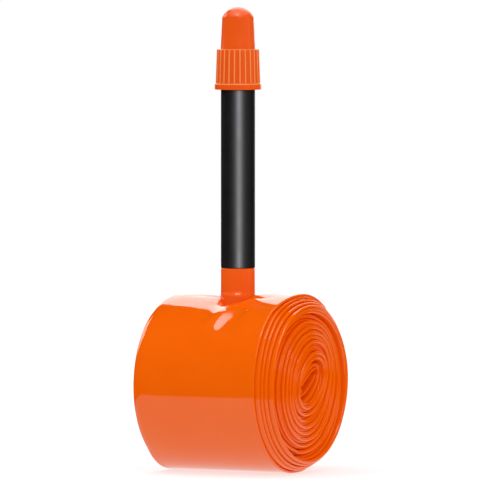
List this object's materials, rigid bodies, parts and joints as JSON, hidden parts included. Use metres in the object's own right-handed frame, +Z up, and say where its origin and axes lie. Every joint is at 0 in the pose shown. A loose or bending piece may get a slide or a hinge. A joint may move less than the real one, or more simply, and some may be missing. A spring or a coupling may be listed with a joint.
{
  "type": "inner tube",
  "caption": "Rolled-up thin-walled bicycle inner tube with a smooth slim valve stem, removable valve core with lock nut, and a ribbed dust cap.",
  "frame": {"origin": "on the flat strip that the roll rests on, straight under the valve's axis", "axes": "+Z up along the valve stem; +X along the roll's axis, towards the end where its layers step out"},
  "size_m": [0.0274, 0.0318, 0.0814],
  "materials": {
    "tube_film": "glossy thin film of soft thermoplastic",
    "foot_plastic": "moulded soft plastic, satin to glossy",
    "stem_plastic": "smooth satin black plastic",
    "cap_plastic": "moulded hard plastic, satin",
    "core_metal": "nickel-plated brass",
    "seal_rubber": "black moulded rubber"
  },
  "bodies": {
    "tube": {"tube_roll": "tube_film", "valve_foot": "foot_plastic", "valve_stem": "stem_plastic"},
    "valve_core": {"core_body": "core_metal", "core_gasket": "seal_rubber"},
    "valve_pin": {"core_pin": "core_metal", "pin_plug": "seal_rubber", "plug_cup": "core_metal"},
    "lock_nut": {"lock_nut": "core_metal"},
    "dust_cap": {"dust_cap": "cap_plastic"}
  },
  "joints": [
    {"name": "core_lift", "type": "slide", "parent": "tube", "child": "valve_core", "axis": [0, 0, 1], "range_m": [0, 0.02]},
    {"name": "cap_lift", "type": "slide", "parent": "valve_core", "child": "dust_cap", "axis": [0, 0, 1], "range_m": [0, 0.03]},
    {"name": "nut_turn", "type": "hinge", "parent": "valve_core", "child": "lock_nut", "pos_m": [0, 0, 0.0745], "axis": [0, 0, 1], "range_deg": [0, 2340]},
    {"name": "pin_press", "type": "slide", "parent": "valve_core", "child": "valve_pin", "axis": [0, 0, 1], "range_m": [-0.0026, 0]}
  ],
  "couplings": [
    {"joint": "nut_turn", "follows": "pin_press", "rad_per_m": -15708}
  ]
}
